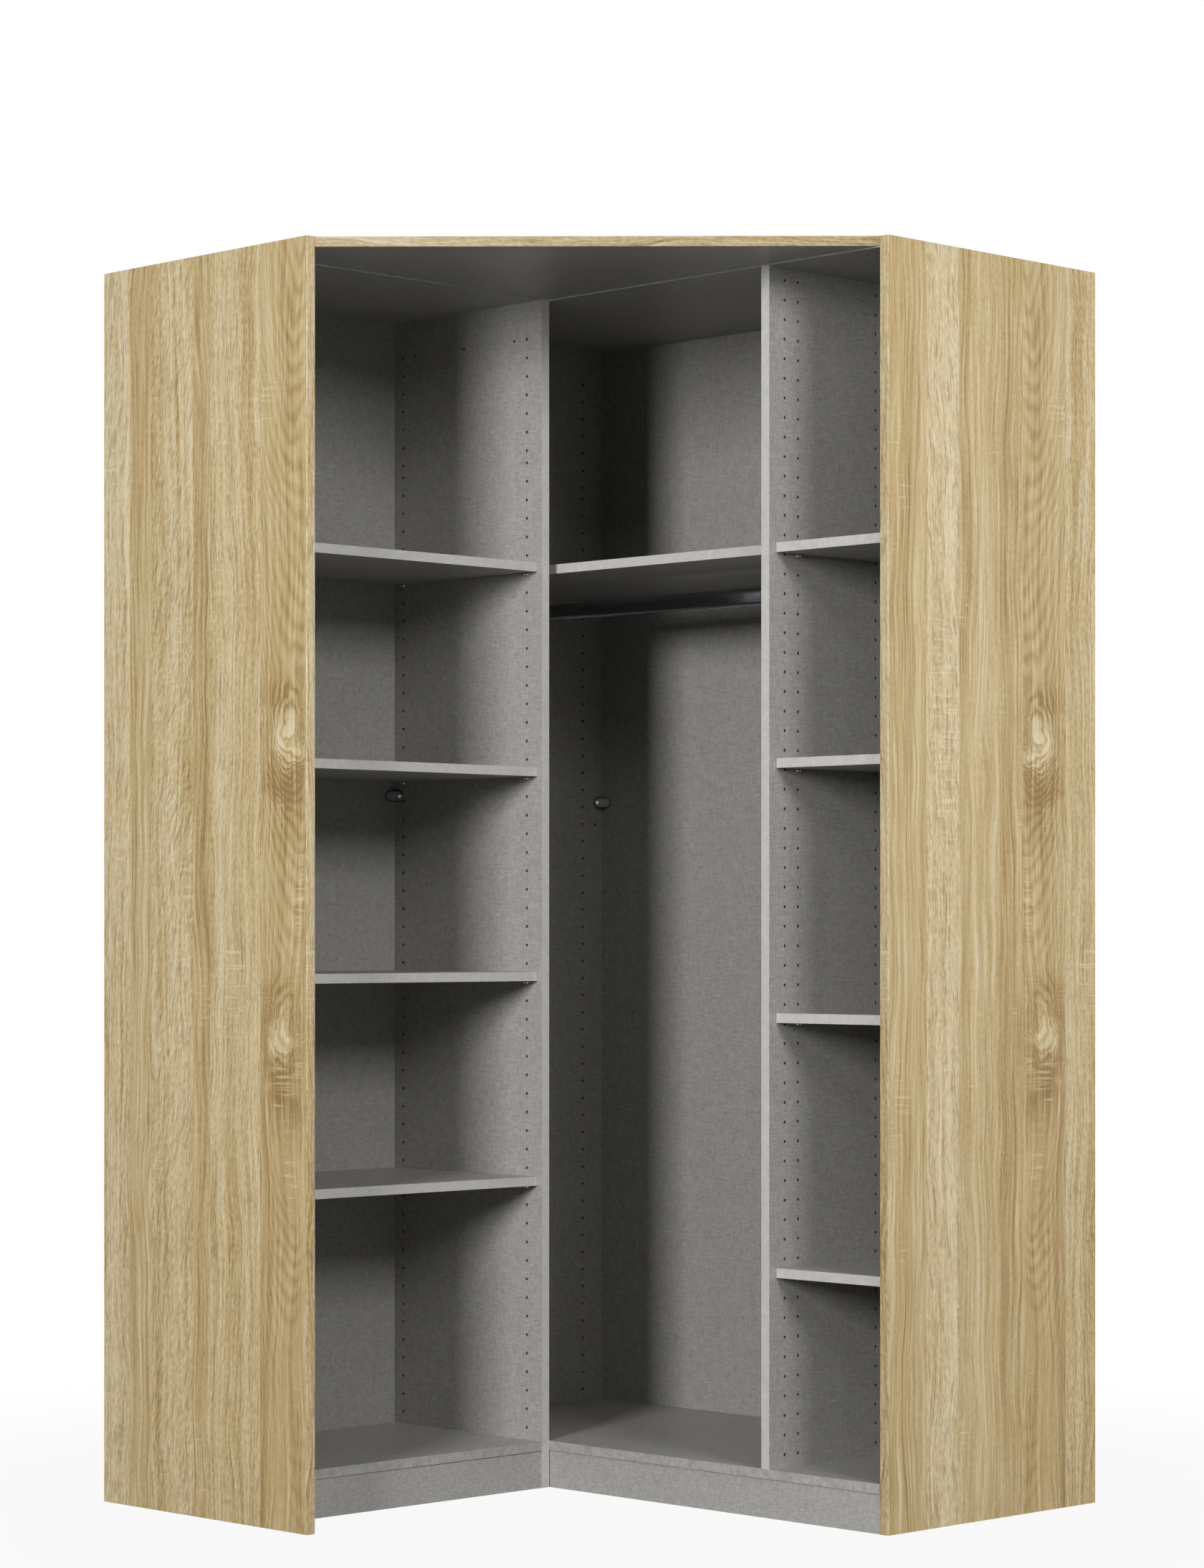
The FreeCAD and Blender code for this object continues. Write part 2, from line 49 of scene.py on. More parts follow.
# Camera, fitted to the corners of the boards in the photograph
IMAGE_HEIGHT_PX = 2188
HORIZON_PX = 1299.23
CAMERA_AT = Vector((4.7552, -4.67605, 0.95726))
CAMERA_TURN = math.radians(45.441)
CAMERA_LENS_MM = 91.32

# Light: soft boxes round the object, over a dim sky. Each has its turn about its aim in degrees, from the
# front of the right wing towards the right, its place and size in metres, and the level it gives at its aim
SoftBox = namedtuple("SoftBox", "turn distance height width rise level aim")
FRONT_AIM = Vector((0, -0.1, 1.0))
RIGHT_AIM = Vector((0.45, 0.1, 1.0))
MIDDLE_AIM = Vector((0, 0, 1.0))
REAR_AIM = Vector((-0.2, 0.2, 1.0))
SOFT_BOXES = {
    "left_box": SoftBox(21.7, 7.0, 2.6, 1.3, 2.0, 0.97, FRONT_AIM),
    "right_box": SoftBox(73.0, 5.0, 3.2, 1.4, 1.3, 0.60, RIGHT_AIM),
    "side_box": SoftBox(115.0, 5.0, 1.6, 1.5, 2.0, 0.30, RIGHT_AIM),
    "fill_box": SoftBox(48.0, 6.0, 4.4, 2.5, 1.5, 0.15, MIDDLE_AIM),
    "rear_box": SoftBox(238.0, 5.0, 3.4, 2.0, 2.0, 0.85, REAR_AIM),
}
BOX_WITHOUT_GLARE = "rear_box"
SKY_STRENGTH = 0.075
WHITE = (1.0, 1.0, 1.0, 1.0)
BLACK = (0.0, 0.0, 0.0, 1.0)

# Floor: half its side, its drop below the object, the distances between which its shade runs out to white,
# the share of shade, and the shader's own values
FLOOR_HALF = 15.0
FLOOR_DROP = 0.2 * MM
FLOOR_SHADE_REACH = (0.9, 2.2)
FLOOR_SHADE_SHARE = 0.07
FLOOR_ROUGHNESS = 0.9
FLOOR_SPECULAR = 0.1


def srgb(red, green, blue):
    """Colour given in the 0 to 255 steps of a picture, as the shader's linear values."""
    def linear(step):
        value = step / 255
        return value / 12.92 if value <= 0.04045 else ((value + 0.055) / 1.055) ** 2.4
    return (linear(red), linear(green), linear(blue), 1.0)


# Colours of the decors and of the floor
LINEN_DARK = srgb(131, 129, 125)
LINEN_LIGHT = srgb(166, 164, 160)
BACK_DARK = srgb(124, 122, 118)
BACK_LIGHT = srgb(156, 154, 150)
BAND_DARK = srgb(168, 166, 162)
BAND_LIGHT = srgb(184, 182, 178)
CHIPBOARD = srgb(96, 84, 68)
OAK_BROWN = srgb(130, 105, 65)
OAK_HONEY = srgb(165, 143, 99)
OAK_BEIGE = srgb(182, 165, 128)
OAK_PALE = srgb(200, 188, 158)
OAK_PORE = srgb(100, 80, 50)
OAK_MARK = srgb(212, 199, 165)
FIBRE_DARK = srgb(118, 90, 62)
FIBRE_LIGHT = srgb(158, 126, 92)
FLOOR_COLOUR = srgb(120, 120, 119)

# Finishes of the fittings: colour, darkening of its clouds, clouds per metre, and the shader's own values
Finish = namedtuple("Finish", "colour darker_by clouds_per_m metallic roughness")
FINISHES = {
    "bright_nickel": Finish(srgb(212, 208, 200), 0.10, 300, 1.0, 0.22),
    "bright_zinc": Finish(srgb(196, 196, 194), 0.15, 400, 1.0, 0.36),
    "polished_chrome": Finish(srgb(172, 176, 184), 0.06, 60, 1.0, 0.18),
    "grey_moulded_plastic": Finish(srgb(108, 108, 107), 0.10, 900, 0.0, 0.45),
    # painted shade: near-black for the corner blocks' sides, in place of the shade in the gap round each
    # block
    "painted_shade_block_sides": Finish(srgb(34, 34, 35), 0.10, 900, 0.0, 0.50),
    "beech": Finish(srgb(206, 168, 120), 0.20, 500, 0.0, 0.70),
}
CLOUD_SPAN = (0.3, 0.7)
CLOUD_GLOSS_SHARE = 0.15
FINISH_RELIEF = 0.02 * MM
NOISE_MIDDLE = 0.5


class Tree:
    """A node tree, with short calls for the nodes that the materials and the world share."""

    def __init__(self, tree):
        self.tree = tree

    def add(self, kind, inputs=(), **settings):
        """New node with its settings, and its inputs given by place as values or as links."""
        node = self.tree.nodes.new(kind)
        for name, value in settings.items():
            setattr(node, name, value)
        for socket, value in inputs:
            if isinstance(value, bpy.types.NodeSocket):
                self.tree.links.new(value, node.inputs[socket])
            else:
                node.inputs[socket].default_value = value
        return node

    def math(self, operation, first, second=0.0):
        """One step of arithmetic."""
        return self.add("ShaderNodeMath", ((0, first), (1, second)), operation=operation).outputs[0]

    def product(self, first, *others):
        """All the values times each other."""
        for other in others:
            first = self.math("MULTIPLY", first, other)
        return first

    def place(self):
        """Position on the object, in metres in the shared frame."""
        return self.add("ShaderNodeTexCoord").outputs["Object"]

    def distance(self, direction):
        """Distance along a direction, in metres."""
        inputs = ((0, self.place()), (1, direction))
        return self.add("ShaderNodeVectorMath", inputs, operation="DOT_PRODUCT").outputs["Value"]

    def length(self, vector):
        """Length of a vector."""
        return self.add("ShaderNodeVectorMath", ((0, vector),), operation="LENGTH").outputs["Value"]

    def vector(self, x, y, z):
        """Vector put together from three values."""
        return self.add("ShaderNodeCombineXYZ", ((0, x), (1, y), (2, z))).outputs[0]

    def scaled_place(self, scale):
        """Position on the object with each part times its own scale."""
        inputs = ((0, self.place()), (1, scale))
        return self.add("ShaderNodeVectorMath", inputs, operation="MULTIPLY").outputs[0]

    def noise(self, vector, detail=2.0, roughness=0.5):
        """Noise of about one cycle per unit of the vector."""
        inputs = (("Vector", vector), ("Scale", 1.0), ("Detail", detail), ("Roughness", roughness))
        return self.add("ShaderNodeTexNoise", inputs).outputs["Fac"]

    def clouds(self, per_m, detail=2.0, roughness=0.5):
        """Noise with the same number of cycles per metre in every direction."""
        return self.noise(self.scaled_place((per_m, per_m, per_m)), detail, roughness)

    def range(self, value, span, to=(0.0, 1.0), smooth=False):
        """Value mapped from one span to another, held at the ends."""
        kind = "SMOOTHSTEP" if smooth else "LINEAR"
        limits = (("From Min", span[0]), ("From Max", span[1]), ("To Min", to[0]), ("To Max", to[1]))
        inputs = (("Value", value),) + limits
        return self.add("ShaderNodeMapRange", inputs, interpolation_type=kind).outputs["Result"]

    def ramp(self, value, stops, kind="LINEAR"):
        """Colour that runs through the stops, given as pairs of place and colour."""
        node = self.add("ShaderNodeValToRGB", ((0, value),))
        node.color_ramp.interpolation = kind
        elements = node.color_ramp.elements
        while len(elements) < len(stops):
            elements.new(1.0)
        for element, (at, colour) in zip(elements, stops):
            element.position = at
            element.color = colour
        return node.outputs[0]

    def steps(self, value, places, levels):
        """Value that jumps to the next level at each place."""
        stops = [(at, (level, level, level, 1.0)) for at, level in zip(places, levels)]
        return self.ramp(value, stops, "CONSTANT")

    def mix(self, share, first, second):
        """Mix of two colours."""
        inputs = ((0, share), (6, first), (7, second))
        return self.add("ShaderNodeMix", inputs, data_type="RGBA").outputs[2]

    def seen_share(self):
        """1 for rays from the camera, a mirror or glass, and 0 for light."""
        path = self.add("ShaderNodeLightPath").outputs
        seen = self.math("MAXIMUM", path["Is Camera Ray"], path["Is Glossy Ray"])
        return self.math("MAXIMUM", seen, path["Is Transmission Ray"])


class Shader(Tree):
    """One material, with its surface's constant values given by the names of their sockets."""

    def __init__(self, name, **values):
        self.material = bpy.data.materials.new(name)
        self.material.use_nodes = True
        super().__init__(self.material.node_tree)
        self.surface = self.tree.nodes["Principled BSDF"]
        for socket, value in values.items():
            self.surface.inputs[socket.replace("_", " ")].default_value = value

    def finish(self, colour, roughness, height, relief):
        """Links the colour, the roughness and the bump height to the surface."""
        bump = self.add("ShaderNodeBump", (("Height", height), ("Distance", relief), ("Strength", 1.0)))
        self.tree.links.new(colour, self.surface.inputs["Base Color"])
        self.tree.links.new(roughness, self.surface.inputs["Roughness"])
        self.tree.links.new(bump.outputs[0], self.surface.inputs["Normal"])
        return self.material


def low(node):
    """Lowest corner of a node."""
    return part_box(node)[0]


def high(node):
    """Highest corner of a node."""
    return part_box(node)[1]


# Linen decor: threads along the two directions of a board's faces, a paler band on its outer edges,
# and the bare chipboard where it is drilled or grooved
THREADS_PER_M = 620.0
SLUBS_PER_M = 80.0
THREAD_DETAIL = 2.5
THREAD_SPAN = (0.66, 1.34)
LINEN_SPECULAR = 0.4
LINEN_ROUGHNESS = (0.48, 0.36)
BACK_ROUGHNESS = (0.62, 0.50)
LINEN_RELIEF = 0.06 * MM
SKIN = 0.3 * MM
BANDED_PANELS = ("partition_panel", "divider_panel", "corner_side_panel")

# Bare fibre behind the back panels: fine flecks over broad clouds
FLECKS_PER_M = 260
FLECK_ROUGHNESS = 0.7
FIBRE_CLOUDS_PER_M = 9
FIBRE_CLOUD_ROUGHNESS = 0.6
FIBRE_DETAIL = 4.0
FIBRE_SPAN = (0.7, 1.3)


def thin_axis(node):
    """Axis along which a board is thinnest."""
    size = high(node) - low(node)
    return min(range(3), key=lambda axis: size[axis])


def near_limit(shader, node, axis):
    """1 close to a board's two limits along an axis, else 0."""
    middle = (low(node)[axis] + high(node)[axis]) / 2
    half = (high(node)[axis] - low(node)[axis]) / 2
    away = shader.math("ABSOLUTE", shader.math("SUBTRACT", shader.distance(AXES[axis]), middle))
    return shader.math("GREATER_THAN", away, half - SKIN)


def linen_parts(shader, node):
    """Colour and thread tone of the woven decor on a board."""
    thin = thin_axis(node)
    flat_axes = [axis for axis in range(3) if axis != thin]
    threads = []
    for axis in flat_axes:
        scale = [SLUBS_PER_M] * 3
        scale[axis] = THREADS_PER_M
        threads.append(shader.noise(shader.scaled_place(scale), THREAD_DETAIL))
    tone = shader.range(shader.math("ADD", *threads), THREAD_SPAN)
    dark, light = (BACK_DARK, BACK_LIGHT) if "back" in node else (LINEN_DARK, LINEN_LIGHT)
    face = shader.ramp(tone, [(0.0, dark), (1.0, light)])
    banded = "shelf" in node or node in BANDED_PANELS
    band = shader.ramp(tone, [(0.0, BAND_DARK), (1.0, BAND_LIGHT)]) if banded else face
    edge = shader.math("MAXIMUM", *[near_limit(shader, node, axis) for axis in flat_axes])
    below = shader.mix(edge, CHIPBOARD, band)
    return shader.mix(near_limit(shader, node, thin), below, face), tone


def linen(node):
    """Grey woven decor on a board."""
    shader = Shader(node + "_decor", Specular_IOR_Level=LINEN_SPECULAR)
    colour, tone = linen_parts(shader, node)
    roughness = shader.range(tone, (0.0, 1.0), LINEN_ROUGHNESS)
    return shader.finish(colour, roughness, tone, LINEN_RELIEF)


def fibreboard(node, direction, front_face):
    """Thin board with the woven decor on its front and bare fibre behind."""
    shader = Shader(node + "_decor", Specular_IOR_Level=LINEN_SPECULAR)
    front = shader.math("GREATER_THAN", shader.distance(direction), front_face - SKIN)
    lining, tone = linen_parts(shader, node)
    flecks = shader.clouds(FLECKS_PER_M, FIBRE_DETAIL, FLECK_ROUGHNESS)
    clouds = shader.clouds(FIBRE_CLOUDS_PER_M, FIBRE_DETAIL, FIBRE_CLOUD_ROUGHNESS)
    fibres = shader.range(shader.math("ADD", flecks, clouds), FIBRE_SPAN)
    bare = shader.mix(fibres, FIBRE_DARK, FIBRE_LIGHT)
    roughness = shader.range(tone, (0.0, 1.0), BACK_ROUGHNESS)
    return shader.finish(shader.mix(front, bare, lining), roughness, tone, LINEN_RELIEF)


# Oak decor: staves side by side, by their starts in mm rearwards from the front of the stave with the knots.
# Each has its tone, its shares of lines, pores, ring figure and arches, and the slant of its pores
Stave = namedtuple("Stave", "tone lines pores figure arches slant")
STAVES = {
    -330: Stave(0.44, 1.0, 0.3, 0.5, 0.0, 0.00),
    -242: Stave(0.68, 0.6, 0.9, 0.1, 0.0, 0.06),
    -160: Stave(0.46, 0.9, 0.4, 0.3, 0.0, 0.00),
    0: Stave(0.42, 0.7, 0.3, 1.0, 1.0, 0.04),
    112: Stave(0.58, 0.7, 0.8, 0.1, 0.0, 0.12),
    240: Stave(0.48, 0.9, 0.5, 0.4, 0.0, 0.04),
    282: Stave(0.56, 0.6, 1.0, 0.1, 0.0, 0.26),
    394: Stave(0.48, 1.0, 0.4, 0.6, 0.0, 0.00),
    450: Stave(0.70, 0.6, 0.9, 0.1, 0.0, 0.10),
}
DECOR_START = min(STAVES) * MM
DECOR_SPAN = 0.860
STAVE_SEED_SPAN = 40.0

# Layers of the grain: cycles per metre across and along the staves, finer detail, and strength
Layer = namedtuple("Layer", "across along detail strength")
BEND = Layer(6.0, 2.4, 2.0, 0.06)
WAVE = Layer(16.0, 6.0, 2.0, 0.014)
TEAR = Layer(24.0, 20.0, 3.0, 0.14)
ARCH_STRAY = Layer(18.0, 6.0, 2.0, 2.6)
ARCH_DRIFT = Layer(5.0, 2.0, 1.0, 7.0)
CONTOURS = Layer(7.0, 0.5, 1.0, 22.0)
RINGS = Layer(9.0, 2.6, 2.0, 0.22)
BROAD_BANDS = Layer(24.0, 0.5, 2.0, 0.75)
LONG_LINES = Layer(150.0, 1.5, 2.0, 1.2)
FINE_LINES = Layer(300.0, 7.0, 1.0, 0.85)
SPECKLE = Layer(340.0, 110.0, 0.0, 0.75)
PORES = Layer(320.0, 24.0, 0.0, 0.40)
SAW_MARKS = Layer(16.0, 230.0, 1.0, 0.4)
SAW_PATCHES = Layer(14.0, 5.0, 2.0, 1.0)
RING_FADE_SPAN = (0.42, 0.62)
HALF_RING = 0.5
RING_WIDTH_SPAN = (0.0, 0.42)
RING_LEVEL = 0.6
PORE_SPAN = (0.60, 0.72)
SAW_MARK_SPAN = (0.56, 0.68)
SAW_PATCH_SPAN = (0.58, 0.70)

# Arches in the stave with the knots: their middle, half width, rise over it, and spacing, in metres
ARCH_MIDDLE = 0.02
ARCH_HALF = 0.09
ARCH_RISE = 0.20
ARCH_SPACING = 0.042

# Knots: places across and along the decor, reach both ways and drop of the brown tails, in metres,
# then the rings round a knot, their added contrast, and the tones of knots, their rims and tails
KNOTS = ((0.05, 1.26), (0.05, 0.79))
KNOT_REACH = (0.085, 0.13)
KNOT_TAIL = 0.09
KNOT_RINGS = 5.0
KNOT_RING_CONTRAST = 1.6
KNOT_TONE = 0.42
KNOT_RIM_TONE = -1.52
KNOT_TAIL_TONE = -0.25

OAK_STOPS = [(0.0, OAK_BROWN), (0.36, OAK_HONEY), (0.64, OAK_BEIGE), (1.0, OAK_PALE)]
OAK_SPECULAR = 0.35
OAK_ROUGHNESS = (0.62, 0.50)
PANEL_RELIEF = 0.08 * MM
EDGING_RELIEF = 0.12 * MM


class Oak(Shader):
    """Oak decor, with its places across the staves and along the grain in metres."""

    def __init__(self, name, across, along, shift):
        super().__init__(name, Specular_IOR_Level=OAK_SPECULAR)
        self.across = self.math("ADD", self.distance(across), shift)
        self.along = self.distance(along)
        at = self.math("DIVIDE", self.math("SUBTRACT", self.across, DECOR_START), DECOR_SPAN)
        starts = [(start * MM - DECOR_START) / DECOR_SPAN for start in STAVES]
        seeds = [index / len(STAVES) for index in range(len(STAVES))]
        self.seed = self.product(self.steps(at, starts, seeds), STAVE_SEED_SPAN)
        self.stave = Stave(*[self.steps(at, starts, column) for column in zip(*STAVES.values())])

    def grain(self, layer, across):
        """Noise of a layer, drawn out along the grain and other in each stave."""
        x = self.product(across, layer.across)
        y = self.product(self.along, layer.along)
        return self.noise(self.vector(x, y, self.seed), layer.detail)

    def raised(self, total, value, strength, level=0.0):
        """Total raised by what a value has over a level."""
        return self.math("ADD", total, self.product(self.math("SUBTRACT", value, level), strength))

    def layered(self, total, layer, across, share=1.0):
        """Total raised and lowered by a layer of the grain, at a share of its strength."""
        strength = self.product(layer.strength, share)
        return self.raised(total, self.grain(layer, across), strength, NOISE_MIDDLE)

    def strayed(self, place, layer):
        """Place moved to and fro by a layer of the grain."""
        return self.layered(place, layer, self.across)

    def knots(self, across, along):
        """Hills at the knots, 1 in their middles and 0 away from them."""
        total = 0.0
        for knot_across, knot_along in KNOTS:
            x = self.math("DIVIDE", self.math("SUBTRACT", across, knot_across), KNOT_REACH[0])
            y = self.math("DIVIDE", self.math("SUBTRACT", along, knot_along), KNOT_REACH[1])
            hill = self.range(self.length(self.vector(x, y, 0.0)), (0.0, 1.0), (1.0, 0.0), smooth=True)
            total = self.math("ADD", hill, total)
        return self.product(total, self.stave.figure)

    def rings(self, wavy, knots):
        """Light and dark of the year rings: contours in most staves, arches in the one with the knots."""
        out = self.math("DIVIDE", self.math("SUBTRACT", wavy, ARCH_MIDDLE), ARCH_HALF)
        arches = self.math("SUBTRACT", self.along, self.product(out, out, ARCH_RISE))
        arches = self.strayed(self.math("DIVIDE", arches, ARCH_SPACING), ARCH_STRAY)
        arches = self.strayed(arches, ARCH_DRIFT)
        contours = self.product(self.grain(CONTOURS, wavy), CONTOURS.strength)
        rings = self.raised(contours, arches, self.stave.arches, contours)
        rings = self.raised(rings, knots, KNOT_RINGS)
        return self.range(self.math("PINGPONG", rings, HALF_RING), RING_WIDTH_SPAN, smooth=True)

    def tone(self, bent, wavy, sheared):
        """Tone of the decor, 0 for brown and 1 for pale."""
        stave = self.stave
        torn = self.strayed(bent, TEAR)
        knots = self.knots(torn, self.along)
        tails = self.knots(torn, self.math("ADD", self.along, KNOT_TAIL))
        fade = self.range(self.grain(RINGS, self.across), RING_FADE_SPAN)
        fade = self.raised(fade, knots, KNOT_RING_CONTRAST)
        tone = self.layered(stave.tone, BROAD_BANDS, bent)
        tone = self.layered(tone, LONG_LINES, wavy, stave.lines)
        tone = self.layered(tone, FINE_LINES, wavy)
        tone = self.layered(tone, SPECKLE, sheared, stave.pores)
        ring_strength = self.product(stave.figure, fade, RINGS.strength)
        tone = self.raised(tone, self.rings(wavy, knots), ring_strength, RING_LEVEL)
        rims = self.product(knots, self.math("SUBTRACT", 1.0, knots))
        tone = self.raised(tone, knots, KNOT_TONE)
        tone = self.raised(tone, rims, KNOT_RIM_TONE)
        return self.raised(tone, tails, KNOT_TAIL_TONE)

    def decor(self):
        """Colour, roughness and bump height of the decor."""
        bent = self.strayed(self.across, BEND)
        wavy = self.strayed(bent, WAVE)
        sheared = self.raised(wavy, self.along, self.stave.slant)
        tone = self.tone(bent, wavy, sheared)
        pores = self.range(self.grain(PORES, sheared), PORE_SPAN)
        pores = self.product(pores, self.stave.pores, PORES.strength)
        colour = self.mix(pores, self.ramp(tone, OAK_STOPS), OAK_PORE)
        marks = self.range(self.grain(SAW_MARKS, self.across), SAW_MARK_SPAN)
        patches = self.range(self.grain(SAW_PATCHES, self.across), SAW_PATCH_SPAN)
        colour = self.mix(self.product(marks, patches, SAW_MARKS.strength), colour, OAK_MARK)
        return colour, self.range(tone, (0.0, 1.0), OAK_ROUGHNESS), self.math("SUBTRACT", tone, pores)


def oak_edging(name, across, along, shift, share):
    """Oak decor on an edging, darkened to a share of its full brightness as painted shade."""
    shader = Oak(name, across, along, shift)
    colour, roughness, height = shader.decor()
    # painted shade: the decor's colour mixed towards black
    return shader.finish(shader.mix(1.0 - share, colour, BLACK), roughness, height, EDGING_RELIEF)


def oak_outside(node, across, shift, inward, inner_face):
    """Oak decor on an end panel, with the woven decor on its inner face."""
    shader = Oak(node + "_decor", across, UP, shift)
    colour, roughness, height = shader.decor()
    inside = shader.math("GREATER_THAN", shader.distance(inward), inner_face - SKIN)
    lining, _ = linen_parts(shader, node)
    return shader.finish(shader.mix(inside, colour, lining), roughness, height, PANEL_RELIEF)


def plain(name):
    """Even finish of a fitting, with a slight cloudiness in colour and gloss."""
    finish = FINISHES[name]
    shader = Shader(name, Metallic=finish.metallic)
    cloud = shader.clouds(finish.clouds_per_m)
    darker = tuple(part * (1 - finish.darker_by) for part in finish.colour[:3]) + (1.0,)
    gloss = (finish.roughness * (1 - CLOUD_GLOSS_SHARE), finish.roughness * (1 + CLOUD_GLOSS_SHARE))
    colour = shader.mix(cloud, darker, finish.colour)
    return shader.finish(colour, shader.range(cloud, CLOUD_SPAN, gloss), cloud, FINISH_RELIEF)


def paint(node, material):
    """Gives a node of the frame its material."""
    mesh = nodes[node].data
    mesh.materials.clear()
    mesh.materials.append(material)


# Edgings: where across the decor they are cut, in metres, and their shares of its brightness, kept below 1
# as painted shade on edgings that face more of the lamps
EDGING_STAVE = 0.18
END_EDGING_SHADED_SHARE = 0.86
TOP_EDGING_SHADED_SHARE = 0.66


def paint_end_panels():
    """Oak outside, from the knot stave on the left and the decor's start on the right, and linen inside."""
    left, right = "left_end_panel", "right_end_panel"
    left_shift = high(left).x
    paint(left, oak_outside(left, (-1, 0, 0), left_shift, (0, 1, 0), high(left).y))
    right_shift = DECOR_START - low(right).y
    paint(right, oak_outside(right, (0, 1, 0), right_shift, (-1, 0, 0), -low(right).x))


def paint_edgings():
    """Oak on the edgings, with its grain along each of them."""
    left_shift = EDGING_STAVE - low("left_end_edging").y
    paint("left_end_edging", oak_edging("left_oak_edging", AXES[1], UP, left_shift, END_EDGING_SHADED_SHARE))
    right_shift = EDGING_STAVE - low("right_end_edging").x
    paint("right_end_edging", oak_edging("right_oak_edging", AXES[0], UP, right_shift, END_EDGING_SHADED_SHARE))
    slant = (math.sqrt(0.5), math.sqrt(0.5), 0)
    top_shift = EDGING_STAVE - low("front_top_edging").z
    paint("front_top_edging", oak_edging("top_oak_edging", UP, slant, top_shift, TOP_EDGING_SHADED_SHARE))


def paint_backs():
    """Linen in front and bare fibre behind on the back panels."""
    left, right = "left_back_panel", "right_back_panel"
    paint(left, fibreboard(left, (1, 0, 0), high(left).x))
    paint(right, fibreboard(right, (0, -1, 0), -low(right).y))


def paint_grey_boards():
    """Linen on all the other boards."""
    for node in nodes:
        two_sided = node.endswith(("_end_panel", "_back_panel"))
        shelf = "shelf" in node and not node.endswith("_pins")
        if shelf or node.endswith(("_panel", "_plinth")) and not two_sided:
            paint(node, linen(node))


# Fittings, in millimetres: profiles are pairs of radius and height along the fitting's axis,
# and a cross recess has half its slot's width, its arm's length and its depth
Cross = namedtuple("Cross", "half arm depth")
CROSS_TAPER = 0.8
PIN_SIDES = 20
PIN_PROFILE = (
    (0.0, -8.0), (2.1, -8.0), (2.4, -7.6), (2.4, 0.05), (3.3, 0.1), (3.5, 0.3), (3.3, 0.75),
    (1.8, 0.9), (1.8, 2.6), (2.2, 3.0), (2.4, 3.5), (2.4, 7.0), (2.1, 7.7), (1.2, 8.0), (0.0, 8.0),
)
CAM_SIDES = 32
CAM_PROFILE = ((6.9, -0.2), (7.3, -0.3), (7.5, -0.6), (7.5, -12.5), (0.0, -12.5))
CAM_CROSS = Cross(0.9, 3.6, 1.6)
SCREW_SIDES = 24
SCREW_CROSS = Cross(0.45, 1.7, 1.0)
BLOCK_SCREW_PROFILE = ((2.2, 0.9), (3.0, 0.6), (3.4, 0.0), (3.4, -1.2), (0.0, -1.2))
CUP_SCREW_PROFILE = ((2.9, -0.1), (3.4, -0.2), (3.4, -0.4), (1.6, -1.6), (1.6, -9.5), (0.0, -10.5))
JOINING_SCREW_PROFILE = ((2.5, -0.1), (3.0, -0.3), (3.0, -44.0), (0.0, -46.0))
RAIL_WALL = 1.2
RAIL_END_STEPS = 20

# Corner blocks: loops of the rim as pairs of inset and height over the face, and rows next to the wall
# painted dark as shade
BLOCK_END_STEPS = 12
BLOCK_RIM = ((0.0, -2.4), (0.5, -1.0), (1.6, -0.2), (2.3, 0.0), (2.9, 0.0), (3.4, -0.4), (3.6, -1.2))
BLOCK_SHADE_ROWS = 3

# Meshes: the grid on which corners count as one, the weld of a block's ends, and the sharpest smooth edge
SAME_POINT = 0.01 * MM
WELD = 0.001 * MM
SMOOTH_ANGLE = math.radians(35)


def islands(node):
    """Box of each separate solid of a node, as pairs of lowest and highest corner."""
    mesh = nodes[node].data
    keys = [tuple(round(value / SAME_POINT) for value in vertex.co) for vertex in mesh.vertices]
    parent = {key: key for key in keys}

    def root(key):
        while parent[key] != key:
            key = parent[key]
        return key

    for polygon in mesh.polygons:
        first, *others = [keys[index] for index in polygon.vertices]
        for other in others:
            parent[root(other)] = root(first)
    groups = {}
    for key, vertex in zip(keys, mesh.vertices):
        groups.setdefault(root(key), []).append(vertex.co)
    return [(Vector(map(min, zip(*group))), Vector(map(max, zip(*group)))) for group in groups.values()]


def stood(point, axis):
    """Place of a fitting whose own Z runs along an axis."""
    return Matrix.Translation(point) @ axis.to_track_quat("Z", "Y").to_matrix().to_4x4()


def towards(value, target):
    """1 or -1 for the way from a value to a target."""
    return 1 if target > value else -1


def bridge(bm, before, after):
    """Joins two closed loops of corners with a row of faces, where a loop of one corner is a point."""
    faces = []
    sides = max(len(before), len(after))
    for i in range(sides):
        j = (i + 1) % sides
        corners = [before[i % len(before)], before[j % len(before)]]
        corners += [after[j % len(after)], after[i % len(after)]]
        faces.append(bm.faces.new(list(dict.fromkeys(corners))))
    return faces


def turned(bm, profile, sides, place):
    """Adds a turned shape, closed where its profile meets the axis, and gives its first loop."""
    loops = []
    for radius, height in profile:
        count = sides if radius > 0 else 1
        loop = []
        for i in range(count):
            turn = 2 * math.pi * i / count
            local = Vector((radius * math.cos(turn), radius * math.sin(turn), height)) * MM
            loop.append(bm.verts.new(place @ local))
        loops.append(loop)
    for before, after in zip(loops, loops[1:]):
        bridge(bm, before, after)
    return loops[0]


def crossed(bm, rim, height, cross, place):
    """Fills a round face with a cross-shaped recess."""
    quarter = [(cross.arm, -cross.half), (cross.arm, cross.half), (cross.half, cross.half)]
    outline = []
    for _ in range(4):
        outline += quarter
        quarter = [(-y, x) for x, y in quarter]
    narrowed = [(x * CROSS_TAPER, y * CROSS_TAPER) for x, y in outline]
    floor = height - cross.depth
    upper = [bm.verts.new(place @ (Vector((x, y, height)) * MM)) for x, y in outline]
    lower = [bm.verts.new(place @ (Vector((x, y, floor)) * MM)) for x, y in narrowed]
    edges = []
    for loop in (rim, upper):
        for first, second in zip(loop, loop[1:] + loop[:1]):
            edges.append(bm.edges.get((first, second)) or bm.edges.new((first, second)))
    bmesh.ops.triangle_fill(bm, use_beauty=True, edges=edges)
    bridge(bm, upper, lower)
    bm.faces.new(lower)


